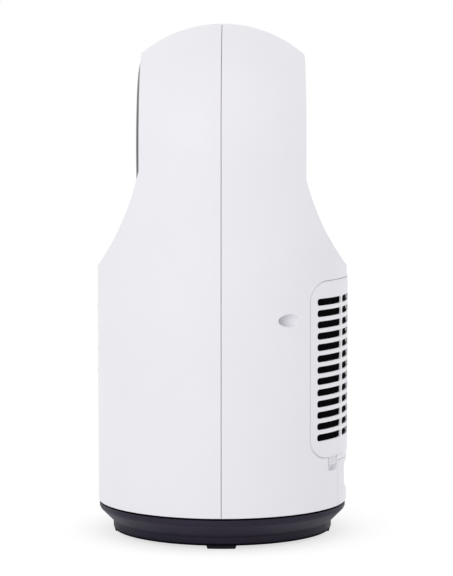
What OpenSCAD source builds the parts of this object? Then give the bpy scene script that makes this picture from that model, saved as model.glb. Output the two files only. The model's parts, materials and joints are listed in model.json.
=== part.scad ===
// Bladeless fan heater: a white two-shell body with a scooped neck and a round
// ring head, standing on a black base that swings it from side to side.
// Millimetres. +Z is up, the front faces -Y, and Z = 0 is the table.

/* [Body] */
// Diameter of the round body
body_d = 165; // [160:1:172]
// Height of the whole heater, from the table to the top of the dome
total_h = 336; // [334:1:348]
// Thickness of the shell walls
wall = 2.5; // [2.2:0.1:2.8]
// Width of the dark line where the two shells meet
seam_w = 0.4; // [0.3:0.1:0.8]
// Depth of the dark line where the two shells meet
seam_depth = 1; // [0.8:0.1:1.5]

/* [Head] */
// Thickness of the head, front to rear, without what its rear face stands out
head_t = 105.3; // [102:0.1:108]
// How much farther out the head's rear face stands than its front face
rear_face_extra = 1.3; // [0.8:0.1:1.6]
// Radius of the hollow curve under each flat face
scoop_r = 178; // [172:1:184]
// Height of the bend under each flat face, measured down from the head's centre
crease_drop = 12; // [11:0.5:14]
// Angle of the bend between the flat face and the hollow curve
crease_angle = 13.2; // [12:0.1:14]

/* [Air ring] */
// Outer radius of the black front ring
ring_outer_r = 60; // [58:0.5:61]
// Outer radius of the air slit, which is the black ring's inner radius
slit_outer_r = 48; // [47.5:0.1:49]
// Width of the air slit
slit_w = 3; // [2.6:0.1:3.4]
// How far the black ring's crest stands out of the front face
ring_crest = 2.1; // [1.8:0.1:2.6]
// Radius of the black ring's crown
ring_crown_r = 26; // [24:0.5:30]
// Thickness of the ring liner's wall
liner_wall = 2; // [1.8:0.1:2.2]
// How far the liner's rear mouth flares out past the slit's inner wall
liner_flare = 5.8; // [5:0.1:6.4]

/* [Base] */
// Height of the rubber feet
foot_h = 2.2; // [2:0.1:2.8]
// Height of the base's rim above the table
base_h = 21; // [20.8:0.1:21.4]
// How far the base's rim stands back from the body's side
rim_inset = 0.7; // [0.5:0.1:1.2]
// Radius of the base's bottom edge
base_bottom_r = 72.1; // [71.4:0.1:72.6]
// Height of the upright band at the base's foot, above the table
band_top = 7.6; // [7.2:0.1:8.4]
// Thickness of the base's walls and floor
base_wall = 2.5; // [2.2:0.1:2.7]
// Gap between the base's rim and the body
body_gap = 0.5; // [0.4:0.1:0.7]
// Width of a foot where it meets the base
foot_w = 19.4; // [17:0.2:22]

/* [Swing drive] */
// Radius of the hub that the body turns on
hub_r = 12; // [11:0.5:13]
// Size of the gear teeth (gear module)
gear_m = 1.2; // [1.1:0.1:1.2]
// Teeth of the ring gear in the base
ring_teeth = 75; // [72:1:76]
// Teeth of the motor's pinion
pinion_teeth = 15; // [14:1:17]
// Diameter of the swing motor's can
swing_motor_d = 35; // [32:0.5:37]
// Height of the swing motor's can
swing_motor_h = 18; // [16:0.5:19]

/* [Rear grille] */
// Width of the rear grille
grille_w = 118.6; // [117:0.2:120]
// Height of the rear grille
grille_h = 114.8; // [113.4:0.1:115.4]
// Height of the grille's lower edge above the table
grille_z = 55.4; // [55:0.1:56.4]
// Radius of the grille's corners
grille_corner = 12; // [10:0.5:14]
// How far the grille stands out of the body's side
grille_proud = 0.6; // [0.5:0.1:1]
// Length of a grille slot
slot_w = 26.2; // [25:0.1:26.4]
// Height of a grille slot, too low for a finger
slot_h = 4.5; // [4:0.1:5]
// Distance from one row of slots to the next
slot_pitch = 7.32; // [7:0.01:7.5]
// Number of rows of slots
slot_rows = 13; // [12:1:13]
// Number of slots side by side
slot_columns = 4; // [3:1:4]
// Distance from one column of slots to the next
slot_column_pitch = 28.4; // [28:0.1:28.5]

/* [Power panel] */
// Width of the rear power panel
panel_w = 64; // [63:0.2:65]
// Height of the power panel's upper edge above the table
panel_top = 51.2; // [50.8:0.1:51.6]
// Depth of the flat hollow in the power panel
pocket_depth = 2.1; // [1.9:0.1:2.3]
// Radius of the mains cord's hole in its gland
cord_r = 3.6; // [3.4:0.05:3.8]
// Tilt of the mains rocker either side of level
rocker_tilt = 8; // [7:0.5:9]

/* [Controls] */
// Width of the control strip on the front
strip_w = 22; // [20:0.5:24]
// Height of the control strip
strip_h = 62; // [61:0.5:64]
// Distance from the foot of the front hollow curve down to the control strip
strip_drop = 16.7; // [15:0.1:19]
// Diameter of a push button
button_d = 11; // [10:0.2:11.6]
// Distance from one button to the next
button_pitch = 14; // [13.5:0.1:14.5]
// Travel of a push button
button_travel = 0.8; // [0.6:0.1:0.9]

/* [Blower] */
// Space beside the blower wheel, between it and the body's inside
wheel_side_gap = 32; // [31.8:0.1:34]
// Space for the circuit board, between the floor plate and the blower wheel
wheel_low_gap = 31.8; // [31:0.1:33]
// Space above the blower wheel, between it and the heater's gasket
wheel_top_gap = 5; // [4.6:0.1:5.4]
// Width of the blower wheel along its axis
wheel_w = 38; // [36:0.5:40]
// Number of blades on the blower wheel
blade_count = 32; // [24:1:36]
// Width of the scroll housing along the fan's axis
scroll_w = 50; // [48:0.5:50]
// Space behind the scroll housing, between it and the body's inside
scroll_rear_gap = 35; // [34.5:0.1:36]
// Thickness of the scroll's walls
scroll_wall = 2; // [1.8:0.1:2.2]
// Radius of the fan motor's case
motor_r = 18; // [17:0.5:19]
// Length of the fan motor's case
motor_l = 30; // [28:0.5:31]
// Radius of the fan motor's shaft
shaft_r = 2; // [1.8:0.1:2.2]

/* [Heater] */
// Height of the heater frame
heater_h = 26; // [25:0.5:27]
// Space between the plate over the heater and the black ring's pocket
plate_gap = 4.1; // [3.6:0.1:4.6]
// Number of heating strips
strip_count = 5; // [4:1:6]
// Number of fins across the strips
fin_count = 19; // [15:1:22]

/* [Inside the foot] */
// Thickness of the floor plate
floor_t = 3; // [2.6:0.1:3.4]
// Thickness of the circuit boards
board_t = 1.6; // [1.2:0.1:1.8]
// Height of the posts under the power board
board_post_h = 6; // [5:0.5:6.5]

/* [Hidden] */
$fn = 96;

// Clearances
play = 0.3;
// Radial clearance of a shaft or hub in its bearing
run_play = 0.08;
// Radial clearance of a screw in its hole
screw_play = 0.1;
// A cut runs this far past the face that it opens
past = 1;
// A joined piece reaches this far into the one that it grows from
bite = 0.4;

// Body and head
body_r = body_d / 2;
body_z = base_h + body_gap;
dome_z = total_h - body_r;
face_y = head_t / 2;
crease_z = dome_z - crease_drop;
rear_y = face_y + rear_face_extra;
scoop_y = face_y + scoop_r * cos(crease_angle);
scoop_z = crease_z + scoop_r * sin(crease_angle);
neck_z = scoop_z - sqrt(scoop_r * scoop_r - (scoop_y - body_r) * (scoop_y - body_r));
inner_r = body_r - wall;

// Air ring
slit_inner_r = slit_outer_r - slit_w;
liner_mouth_r = slit_inner_r + liner_flare;
liner_r = slit_inner_r - liner_wall;
pocket_r = ring_outer_r + 0.4;
collar_y = face_y - 6.8;
seat_y = collar_y + 2;
seat_r = ring_outer_r - 4;
collar_r = liner_mouth_r + 0.2;
crown_r = ring_outer_r - 10;
crown_y = face_y + ring_crest - ring_crown_r;
ring_back_y = face_y - 10.8;
ring_screw_r = (seat_r + ring_outer_r) / 2;
bell_y = 22;
bell_end_y = face_y - 0.5;
liner_front_y = face_y - 1.5;
bell_dy = bell_end_y - bell_y;
bell_r = (bell_dy * bell_dy + liner_flare * liner_flare) / (2 * liner_flare);

// Base
tray_z = foot_h + base_wall;
rim_r = body_r - rim_inset;
rim_low = base_h - 4.9;
rim_edge = 0.7;
lip_w = 1.2;
lip_h = 0.8;
band_r = base_bottom_r + 0.5;
slide_r = 63;
slide_w = 6;
slide_h = 2.3;
floor_z = body_z + 0.5;
slide_z = floor_z - play - slide_h;
well_r = 19;
retainer_t = 2;
well_top = foot_h + 4.4;
hub_end_z = well_top - 0.4;
boss_r = hub_r + 6;
foot_r = 63.4;
foot_taper = 0.8;
foot_chamfer = 0.7;

// Floor plate and shell feet
floor_r = inner_r - play;
floor_top = floor_z + floor_t;
post_r = 4;
post_at = inner_r - 7;
post_top = floor_top + 15;
screw_r = 1.3;
screw_head_r = 2.7;
screw_head_t = 1.6;

// Swing drive
ring_pitch_r = ring_teeth * gear_m / 2;
pinion_pitch_r = pinion_teeth * gear_m / 2;
swing_y = -(ring_pitch_r - pinion_pitch_r);
gear_z = tray_z + 3.9;
gear_t = 7;
gear_outer_r = ring_pitch_r + 7;
gear_screw_r = ring_pitch_r + 4.5;
swing_ear_x = swing_motor_d / 2 + 3.5;
swing_shaft_r = 2.5;
swing_boss_r = 4.5;

// Seam screws at mid height
seam_screw_x = inner_r - 10;
seam_screw_z = 146.8;
seam_boss_r = 6;
seam_recess_r = 4;
seam_web = 6;

// Rear grille
grille_r = body_r + grille_proud;
grille_t = 1.1;
grille_gap = 0.3;
rebate_r = grille_r - grille_t - 0.2;
window_in = 1.7;
skirt_t = 1.2;
skirt_r = inner_r - 4;
foam_r = skirt_r + 2.2;
slot_z0 = grille_z + grille_h / 2 - (slot_rows - 1) * slot_pitch / 2 + 0.3;
slot_corner = 1.7;
latch_x = 39.5;
latch_w = 11;
latch_h = 9.5;
latch_floor_r = body_r - 3.5;
tab_r = latch_floor_r + 0.6;
ridge_r = 0.5;

// Power panel
panel_inner_r = inner_r - 2.5;
pocket_floor_r = body_r - pocket_depth;
pocket_low = body_z + 6.4;
pocket_high = panel_top - 1.3;
pocket_bevel = 3;
well_top_y = pocket_floor_r - 2.7;
well_y = pocket_floor_r - 6.2;
well_t = 2.2;
outlet_z = (pocket_low + pocket_high) / 2 - 0.3;
gland_x = -13.5;
gland_well_r = 8.2;
gland_neck_r = 5.2;
gland_l = 11.5;
rocker_x = 8.2;
rocker_w = 19;
rocker_h = 13;
rocker_body_l = 16;
rocker_r = 9;

// Controls
strip_t = 1.2;
strip_ledge = 3;
strip_corner = 5;
strip_z = neck_z - strip_drop - strip_h;
button_z0 = strip_z + strip_h / 2 - 1.5 * button_pitch;
button_face_r = body_r - 0.1;
button_flange_t = 1.2;
control_y = -(body_r - 14.1);
switch_h = 2.5;
plunger_h = 0.6;
stem_end_y = control_y - switch_h - plunger_h - button_travel - 0.1;
control_post_x = 11.5;
control_w = 30;
control_post_r = 2.4;

// Heater and duct, which hang below the black ring's pocket
gasket_t = 1.5;
duct_plate_t = 2;
duct_plate_z = dome_z - pocket_r - wall - plate_gap;
duct_top = dome_z - collar_r - wall - 3.5;
heater_top = duct_plate_z - 3;
heater_z = heater_top - heater_h;
heater_strip_h = heater_h - 8;

// Blower, along the Y axis through fan_z, as large as the space round it allows
outlet_top = heater_z - gasket_t;
wheel_room = outlet_top - wheel_top_gap - floor_top - wheel_low_gap;
wheel_r = min(inner_r - wheel_side_gap, wheel_room / 2);
fan_z = outlet_top - wheel_top_gap - wheel_r;
scroll_y1 = inner_r - scroll_rear_gap;
scroll_y0 = scroll_y1 - scroll_w;
scroll_mid = scroll_y0 + scroll_w / 2;
wheel_y0 = scroll_y0 + 5;
wheel_y1 = wheel_y0 + wheel_w;
volute_start = wheel_r + 3;
volute_grow = 9;
volute_from = 60;
volute_turn = 240;
volute_steps = 40;
ear_t = 3;
ear_gap = 0.2;
inlet_r = wheel_r - 10;
outlet_x0 = -(volute_start + volute_grow);
outlet_x1 = wheel_r - 26;
motor_flange_r = motor_r + 10;
motor_mount_r = motor_r + 6;
grommet_t = 3;
grommet_r = 4;
motor_y1 = scroll_y0 - grommet_t;
motor_y0 = motor_y1 - 2 - motor_l;
motor_wall = 2;
bush_r = 4;
rotor_r = motor_r - 3.5;
scroll_foot_x = wheel_r - 10;
scroll_foot_w = 12;
scroll_foot_y = scroll_y0 - 4;

heater_x0 = outlet_x0 - scroll_wall;
heater_x1 = outlet_x1 + scroll_wall;
heater_mid_x = (heater_x0 + heater_x1) / 2;
duct_half_w = wheel_r - 6;

// Circuit board and small parts on the floor plate
board_z = floor_top + board_post_h;
board_top = board_z + board_t;
board_half_w = 34;
board_y0 = inner_r - 76;
board_y1 = board_y0 + 46;
board_post_in = 4;
tip_x = 0.625 * inner_r;
tip_y = -0.425 * inner_r;
tip_w = 12;
tip_l = 20;
tip_h = 24;
tip_wall = 1.6;
tip_pivot_z = floor_top + tip_h - 5;
pendulum_l = 11;
wire_r = 1.1;
wire_sides = 8;
lead_x = inner_r - 20;

white = "#e7e7ec";
black = "#25232b";
gloss = "#0b0b10";
steel = "#b9bcc2";

// Box between two corners
module block(low, high) {
    translate(low) cube(high - low);
}

// A shape drawn in X and Z, extruded from y0 to y1
module along_y(y0, y1) {
    translate([0, y1, 0]) rotate([90, 0, 0]) linear_extrude(y1 - y0) children();
}

// A shape drawn in Y and Z, extruded from x0 to x1
module along_x(x0, x1) {
    translate([x0, 0, 0]) rotate([90, 0, 90]) linear_extrude(x1 - x0) children();
}

// A profile drawn as radius and Y, turned about the Y axis at height z
module turned_y(z) {
    translate([0, 0, z]) rotate([-90, 0, 0]) rotate_extrude() children();
}

// Round bar along Y
module rod_y(x, z, r, y0, y1) {
    translate([x, y0, z]) rotate([-90, 0, 0]) cylinder(r = r, h = y1 - y0);
}

// Tube along Y
module tube_y(x, z, r0, r1, y0, y1) {
    difference() {
        rod_y(x, z, r1, y0, y1);
        rod_y(x, z, r0, y0 - past, y1 + past);
    }
}

// Upright tube about the body's axis
module tube_z(r0, r1, z0, z1) {
    difference() {
        translate([0, 0, z0]) cylinder(r = r1, h = z1 - z0);
        translate([0, 0, z0 - past]) cylinder(r = r0, h = z1 - z0 + 2 * past);
    }
}

// Rectangle with round corners, centred on x, standing on z
module round_rect(w, z, h, r) {
    translate([-w / 2 + r, z]) square([w - 2 * r, h]);
    translate([-w / 2, z + r]) square([w, h - 2 * r]);
    for (x = [-1, 1], up = [0, 1])
        translate([x * (w / 2 - r), z + r + up * (h - 2 * r)]) circle(r = r);
}

// Copies a screw's shape to each point
module at_points(points) {
    for (p = points) translate(p) children();
}

// Upright screw with its head below, its head's top face at Z = 0
module screw_up(length) {
    translate([0, 0, -screw_head_t]) cylinder(r = screw_head_r, h = screw_head_t);
    translate([0, 0, -bite]) cylinder(r = screw_r - screw_play, h = length + bite);
}

// Where the upright screws go through the floor plate
shell_posts = [for (a = [45 : 90 : 315]) [post_at * cos(a), post_at * sin(a), 0]];
panel_feet = [for (s = [-1, 1]) [s * 16, inner_r - 11, 0]];
scroll_feet = [for (s = [-1, 1]) [s * scroll_foot_x, scroll_foot_y, 0]];
floor_holes = concat(shell_posts, panel_feet, scroll_feet);
board_posts = [
    for (sx = [-1, 1], y = [board_y0 + board_post_in, board_y1 - board_post_in])
        [sx * (board_half_w - board_post_in), y, 0]
];
control_posts = [
    for (sx = [-1, 1], z = [strip_z + 3, strip_z + strip_h - 3])
        [sx * control_post_x, z]
];

// What the flat face and the hollow curve take away, on the side where Y > 0:
// above the bend the circle reaches past the flat face, which then sets the depth
module scoop_outline(inset, flat_y) {
    intersection() {
        translate([scoop_y, scoop_z]) circle(r = scoop_r + inset);
        translate([flat_y - inset, 0]) square([body_d, 2 * total_h]);
    }
}

// The body's round form, drawn in by an inset, from a given height up
module body_form(inset, from_z) {
    difference() {
        union() {
            translate([0, 0, from_z]) cylinder(r = body_r - inset, h = dome_z - from_z);
            translate([0, 0, dome_z]) intersection() {
                sphere(r = body_r - inset);
                block([-body_d, -body_d, -past], [body_d, body_d, body_d]);
            }
        }
        along_x(-body_d, body_d) scoop_outline(inset, rear_y);
        mirror([0, 1, 0]) along_x(-body_d, body_d) scoop_outline(inset, face_y);
    }
}

// Half of the space, in front of or behind the seam
module half_space(side) {
    block([-body_d, side < 0 ? -body_d : 0, -past], [body_d, side < 0 ? 0 : body_d, 2 * total_h]);
}

// One bare shell half with its half of the seam line
module shell_half(side) {
    difference() {
        intersection() {
            body_form(0, body_z);
            half_space(side);
        }
        body_form(wall, body_z - past);
        difference() {
            block([-body_d, -seam_w / 2, body_z - past], [body_d, seam_w / 2, total_h + past]);
            body_form(seam_depth, body_z - 2 * past);
        }
    }
}

// Post in a shell's foot that takes a screw from below
module shell_post(p) {
    angle = atan2(p[1], p[0]);
    rotate([0, 0, angle]) difference() {
        union() {
            translate([post_at, 0, floor_top]) cylinder(r = post_r, h = post_top - floor_top);
            block([post_at, -1.5, floor_top], [inner_r + bite, 1.5, post_top]);
        }
        translate([post_at, 0, floor_top - past]) cylinder(r = screw_r, h = 12 + past);
    }
}

// Screw boss on the seam, seen from the side at mid height
module seam_boss(x, y0, y1) {
    intersection() {
        union() {
            rod_y(x, seam_screw_z, seam_boss_r, y0, y1);
            block([min(x, sign(x) * body_r), y0, seam_screw_z - 2],
                [max(x, sign(x) * body_r), y1, seam_screw_z + 2]);
        }
        body_form(wall / 2, body_z);
    }
}

module front_shell() {
    color(white) difference() {
        union() {
            shell_half(-1);
            intersection() {
                union() {
                    tube_y(0, dome_z, pocket_r, pocket_r + wall, -body_d, -collar_y);
                    tube_y(0, dome_z, seat_r, pocket_r + wall, -seat_y, -collar_y);
                }
                body_form(0, body_z);
            }
            for (s = [-1, 1]) seam_boss(s * seam_screw_x, -16, 0);
            for (p = shell_posts) if (p[1] < 0) shell_post(p);
            for (p = control_posts)
                intersection() {
                    rod_y(p[0], p[1], control_post_r, -body_r, control_y);
                    body_form(wall / 2, body_z);
                }
        }
        rod_y(0, dome_z, pocket_r, -body_d, -seat_y);
        rod_y(0, dome_z, seat_r, -body_d, -collar_y + past);
        at_ring_screws() {
            rod_y(0, 0, screw_r, -seat_y - past, -collar_y + past);
            rod_y(0, 0, screw_head_r, -collar_y, -collar_y + 3 * screw_head_t);
        }
        for (s = [-1, 1]) rod_y(s * seam_screw_x, seam_screw_z, screw_r, -13, past);
        for (p = control_posts) rod_y(p[0], p[1], screw_r - 0.2, control_y - 7, control_y + past);
        difference() {
            along_y(-body_d, -inner_r / 2)
                round_rect(strip_w + grille_gap, strip_z - grille_gap / 2,
                    strip_h + grille_gap, strip_corner + grille_gap / 2);
            cylinder(r = body_r - strip_t - 0.1, h = total_h);
        }
        along_y(-body_d, -inner_r + 6)
            round_rect(strip_w - 2 * strip_ledge, strip_z + strip_ledge,
                strip_h - 2 * strip_ledge, strip_corner - 2);
    }
}

// The three places of the ring's screws, round the head's centre
module at_ring_screws() {
    for (a = [0 : 120 : 240])
        translate([ring_screw_r * sin(a), 0, dome_z + ring_screw_r * cos(a)]) children();
}

module rear_shell() {
    color(white) difference() {
        union() {
            shell_half(1);
            intersection() {
                tube_y(0, dome_z, collar_r, collar_r + wall, collar_y, body_d);
                body_form(0, body_z);
            }
            for (s = [-1, 1]) seam_boss(s * seam_screw_x, 0, body_r);
            for (p = shell_posts) if (p[1] > 0) shell_post(p);
            for (s = [-1, 1]) latch_backing(s);
        }
        rod_y(0, dome_z, collar_r, collar_y - past, body_d);
        for (s = [-1, 1]) {
            rod_y(s * seam_screw_x, seam_screw_z, seam_recess_r, seam_web, body_d);
            rod_y(s * seam_screw_x, seam_screw_z, screw_r + 0.3, -past, seam_web + past);
            latch_hollow(s);
        }
        grille_window();
        block([-panel_w / 2 - play, 0, body_z - past],
            [panel_w / 2 + play, body_d, panel_top + play]);
    }
}

// Rebate and through window for the intake grille
module grille_window() {
    difference() {
        along_y(0, body_d)
            round_rect(grille_w + 2 * grille_gap, grille_z - grille_gap,
                grille_h + 2 * grille_gap, grille_corner + grille_gap);
        cylinder(r = rebate_r, h = total_h);
    }
    along_y(inner_r / 2, body_d)
        round_rect(grille_w - 2 * window_in, grille_z + window_in + 1.7,
            grille_h - 2 * window_in - 2.4, grille_corner - window_in);
}

// Outline of the thumb hollow under the grille: square above, round below
module latch_outline(grow) {
    r = 3 + grow;
    w = latch_w + 2 * grow;
    z = grille_z - latch_h - grow;
    translate([-w / 2 + r, z]) square([w - 2 * r, latch_h + grow]);
    translate([-w / 2, z + r]) square([w, latch_h + grow - r]);
    for (s = [-1, 1]) translate([s * (w / 2 - r), z + r]) circle(r = r);
}

module latch_backing(s) {
    intersection() {
        translate([s * latch_x, 0, 0]) along_y(inner_r / 2, body_r) union() {
            latch_outline(2);
            translate([-latch_w / 2 - 2, grille_z - 1]) square([latch_w + 4, 4]);
        }
        tube_z(latch_floor_r - wall, inner_r + bite, 0, total_h);
    }
}

module latch_hollow(s) {
    translate([s * latch_x, 0, 0]) difference() {
        along_y(inner_r / 2, body_d) union() {
            latch_outline(0);
            translate([-latch_w / 2, grille_z - 1]) square([latch_w, 1.8]);
        }
        translate([-s * latch_x, 0, 0]) cylinder(r = latch_floor_r, h = total_h);
    }
}

module shell_screws() {
    color(steel) for (s = [-1, 1]) {
        rod_y(s * seam_screw_x, seam_screw_z, screw_r - screw_play, -12, seam_web + bite);
        difference() {
            rod_y(s * seam_screw_x, seam_screw_z, seam_recess_r - 0.6, seam_web, seam_web + 2.4);
            for (turn = [0, 90])
                translate([s * seam_screw_x, seam_web + 2, seam_screw_z])
                    rotate([0, turn, 0]) cube([4, 2, 0.8], center = true);
        }
    }
}

module nozzle_ring() {
    color(gloss) difference() {
        turned_y(dome_z) mirror([0, 1]) difference() {
            intersection() {
                translate([slit_outer_r, ring_back_y])
                    square([ring_outer_r - slit_outer_r, body_r - ring_back_y]);
                translate([crown_r, crown_y]) circle(r = ring_crown_r);
            }
            translate([slit_outer_r + 2, ring_back_y - past])
                square([ring_outer_r, seat_y - ring_back_y + past]);
            translate([slit_outer_r + 2, seat_y - past])
                square([seat_r - slit_outer_r - 2, 3.5 + past]);
        }
        at_ring_screws() rod_y(0, 0, screw_r, -seat_y - 4, -seat_y + past);
    }
}

module ring_screws() {
    color(steel) at_ring_screws() {
        rod_y(0, 0, screw_head_r - 0.4, -collar_y, -collar_y + screw_head_t);
        rod_y(0, 0, screw_r - screw_play, -seat_y - 3.5, -collar_y + bite);
    }
}

module ring_liner() {
    flange_dy = collar_y - 1 - bell_y;
    flange_r = slit_inner_r + bell_r - sqrt(bell_r * bell_r - flange_dy * flange_dy) - bite;
    color(white) {
        turned_y(dome_z) {
            translate([liner_r, -liner_front_y]) square([liner_wall, bell_y + liner_front_y + bite]);
            difference() {
                intersection() {
                    translate([liner_r, bell_y]) square([liner_mouth_r, bell_dy]);
                    translate([slit_inner_r + bell_r, bell_y]) circle(r = bell_r + liner_wall);
                }
                translate([slit_inner_r + bell_r, bell_y]) circle(r = bell_r);
            }
            translate([flange_r, collar_y - 2]) square([collar_r + wall - flange_r, 2]);
        }
        for (a = [22.5 : 45 : 360])
            translate([0, 0, dome_z]) rotate([0, a, 0])
                block([slit_inner_r - 1, -ring_back_y - 6, -0.6],
                    [slit_outer_r - 0.1, -ring_back_y, 0.6]);
    }
}

module base_tray() {
    color(black) difference() {
        rotate_extrude() {
            difference() {
                polygon([
                    [0, foot_h], [base_bottom_r, foot_h], [band_r, foot_h + 1.4],
                    [band_r, band_top], [rim_r - rim_edge, rim_low], [rim_r, rim_low + 2 * rim_edge],
                    [rim_r, base_h - lip_h], [rim_r - lip_w, base_h - lip_h],
                    [rim_r - lip_w, base_h], [0, base_h]
                ]);
                polygon([
                    [0, tray_z], [band_r - base_wall, tray_z], [band_r - base_wall, band_top + 1],
                    [rim_r - base_wall, rim_low + 1 + rim_edge], [rim_r - base_wall, base_h + past],
                    [0, base_h + past]
                ]);
                square([well_r, well_top]);
            }
            translate([slide_r - slide_w / 2, tray_z - bite])
                square([slide_w, slide_z - tray_z + bite]);
            translate([gear_outer_r - 5, tray_z - bite]) square([5, gear_z - tray_z + bite]);
            translate([hub_r + run_play, well_top])
                square([boss_r - hub_r - run_play, base_h - well_top]);
            translate([hub_r + run_play, well_top])
                square([well_r + base_wall - hub_r - run_play, base_wall]);
            translate([well_r, foot_h]) square([base_wall, well_top + base_wall - foot_h]);
        }
        translate([0, 0, foot_h - past]) cylinder(r = hub_r + run_play, h = base_h);
        at_gear_screws() translate([0, 0, tray_z - 1]) cylinder(r = screw_r - 0.1, h = gear_z);
    }
}

module foot_pads() {
    color(black) for (a = [0 : 90 : 270])
        rotate([0, 0, a]) intersection() {
            tube_z(foot_r, base_bottom_r, 0, foot_h);
            along_x(0, body_r) polygon([
                [-foot_w / 2 + foot_taper, 0], [foot_w / 2 - foot_taper, 0],
                [foot_w / 2, foot_h], [-foot_w / 2, foot_h]
            ]);
            rotate_extrude() polygon([
                [0, 0], [base_bottom_r - foot_chamfer, 0], [base_bottom_r, foot_h], [0, foot_h]
            ]);
        }
}

module slip_ring() {
    color("ivory")
        tube_z(slide_r - slide_w / 2, slide_r + slide_w / 2, slide_z, slide_z + slide_h);
}

// Half of a tooth's angle, as a share of the pitch, at a height above the pitch circle
function tooth_half(thick, height) = thick / 2 - height * tan(20) / (PI * gear_m);

// One tooth of a straight-sided gear, the first of them at 90 degrees
function tooth(pitch_r, count, i, tip, root, thick) = [
    for (q = [[root, -1], [0, -1], [tip, -1], [tip, 1], [0, 1], [root, 1]])
        let (a = 90 + 360 / count * (i + q[1] * tooth_half(thick, q[0])), r = pitch_r + q[0])
            [r * cos(a), r * sin(a)]
];

module gear_outline(pitch_r, count, tip, root, thick) {
    polygon([for (i = [0 : count - 1]) each tooth(pitch_r, count, i, tip, root, thick)]);
}

module at_gear_screws() {
    for (a = [30, 150, 270]) rotate([0, 0, a]) translate([gear_screw_r, 0, 0]) children();
}

module ring_gear() {
    color("ivory") difference() {
        translate([0, 0, gear_z]) cylinder(r = gear_outer_r, h = gear_t);
        translate([0, 0, gear_z - past]) linear_extrude(gear_t + 2 * past) rotate(180)
            gear_outline(ring_pitch_r, ring_teeth, 1.1 * gear_m, -0.75 * gear_m, 0.55);
        at_gear_screws() translate([0, 0, gear_z - past])
            cylinder(r = screw_r, h = gear_t + 2 * past);
    }
}

module gear_screws() {
    color(steel) at_gear_screws() {
        translate([0, 0, gear_z + gear_t]) cylinder(r = screw_head_r - 0.4, h = screw_head_t);
        translate([0, 0, tray_z - 0.5])
            cylinder(r = screw_r - 2 * screw_play, h = gear_z + gear_t - tray_z + 1);
    }
}

module floor_plate() {
    color("gainsboro") difference() {
        union() {
            translate([0, 0, floor_z]) cylinder(r = floor_r, h = floor_t);
            translate([0, 0, hub_end_z]) cylinder(r = hub_r, h = floor_z - hub_end_z + bite);
            at_points(board_posts) translate([0, 0, floor_top - bite])
                cylinder(r = 3, h = board_post_h + bite);
        }
        translate([0, 0, hub_end_z - past]) cylinder(r = hub_r - 3.5, h = floor_top);
        translate([0, swing_y, floor_z - past]) cylinder(r = swing_boss_r + 0.5, h = floor_top);
        at_points(floor_holes) {
            translate([0, 0, floor_z - past]) cylinder(r = screw_r + 0.2, h = floor_t + 2 * past);
            translate([0, 0, floor_z - past]) cylinder(r = screw_head_r + 0.3, h = screw_head_t + past);
        }
        at_points(board_posts) translate([0, 0, floor_top + 0.5])
            cylinder(r = screw_r - 0.2, h = board_post_h);
        at_swing_ears() translate([0, 0, floor_z - past])
            cylinder(r = screw_r, h = floor_t + 2 * past);
        at_retainer_screws() translate([0, 0, hub_end_z - past]) cylinder(r = 1, h = 9);
    }
}

module at_swing_ears() {
    for (s = [-1, 1]) translate([s * swing_ear_x, swing_y, 0]) children();
}

module at_retainer_screws() {
    for (a = [90, 210, 330]) rotate([0, 0, a]) translate([hub_r - 1.75, 0, 0]) children();
}

module hub_retainer() {
    color(steel) difference() {
        translate([0, 0, hub_end_z - retainer_t]) cylinder(r = well_r - 2, h = retainer_t);
        translate([0, 0, hub_end_z - retainer_t - past])
            cylinder(r = hub_r - 4, h = retainer_t + 2 * past);
        at_retainer_screws() translate([0, 0, hub_end_z - retainer_t - past])
            cylinder(r = 1.1, h = retainer_t + 2 * past);
    }
}

module retainer_screws() {
    color(steel) at_retainer_screws() {
        translate([0, 0, hub_end_z - retainer_t - 1.4]) cylinder(r = 1.7, h = 1.4);
        translate([0, 0, hub_end_z - retainer_t - bite]) cylinder(r = 0.9, h = 9);
    }
}

module floor_screws() {
    color(steel) at_points(floor_holes) translate([0, 0, floor_z + screw_head_t])
        screw_up(floor_t - screw_head_t + 2.9);
}

module swing_motor() {
    color("#8d9096") difference() {
        union() {
            translate([0, swing_y, floor_top]) cylinder(d = swing_motor_d, h = swing_motor_h);
            translate([0, swing_y, floor_z + 0.5]) cylinder(r = swing_boss_r, h = floor_t);
            block([-swing_ear_x, swing_y - 3.5, floor_top], [swing_ear_x, swing_y + 3.5, floor_top + 1]);
            at_swing_ears() translate([0, 0, floor_top]) cylinder(r = 3.5, h = 1);
        }
        translate([0, swing_y, floor_z - past])
            cylinder(r = swing_shaft_r + run_play, h = swing_motor_h + floor_t - 1);
        at_swing_ears() translate([0, 0, floor_top - past]) cylinder(r = screw_r + 0.2, h = 1 + 2 * past);
    }
}

module swing_motor_screws() {
    color(steel) at_swing_ears() {
        translate([0, 0, floor_top + 1]) cylinder(r = screw_head_r, h = screw_head_t);
        translate([0, 0, floor_z + 0.3]) cylinder(r = screw_r - screw_play, h = floor_t + 1);
    }
}

module swing_pinion() {
    color("ivory") translate([0, swing_y, 0]) {
        translate([0, 0, gear_z + 0.5]) linear_extrude(gear_t - 1) rotate(180)
            gear_outline(pinion_pitch_r, pinion_teeth, 0.75 * gear_m, -1.1 * gear_m, 0.45);
        translate([0, 0, gear_z + gear_t - 1]) cylinder(r = 3.6, h = 2.5);
        translate([0, 0, gear_z + gear_t]) cylinder(r = swing_shaft_r, h = floor_top - gear_z - gear_t + 12);
    }
}

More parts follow.
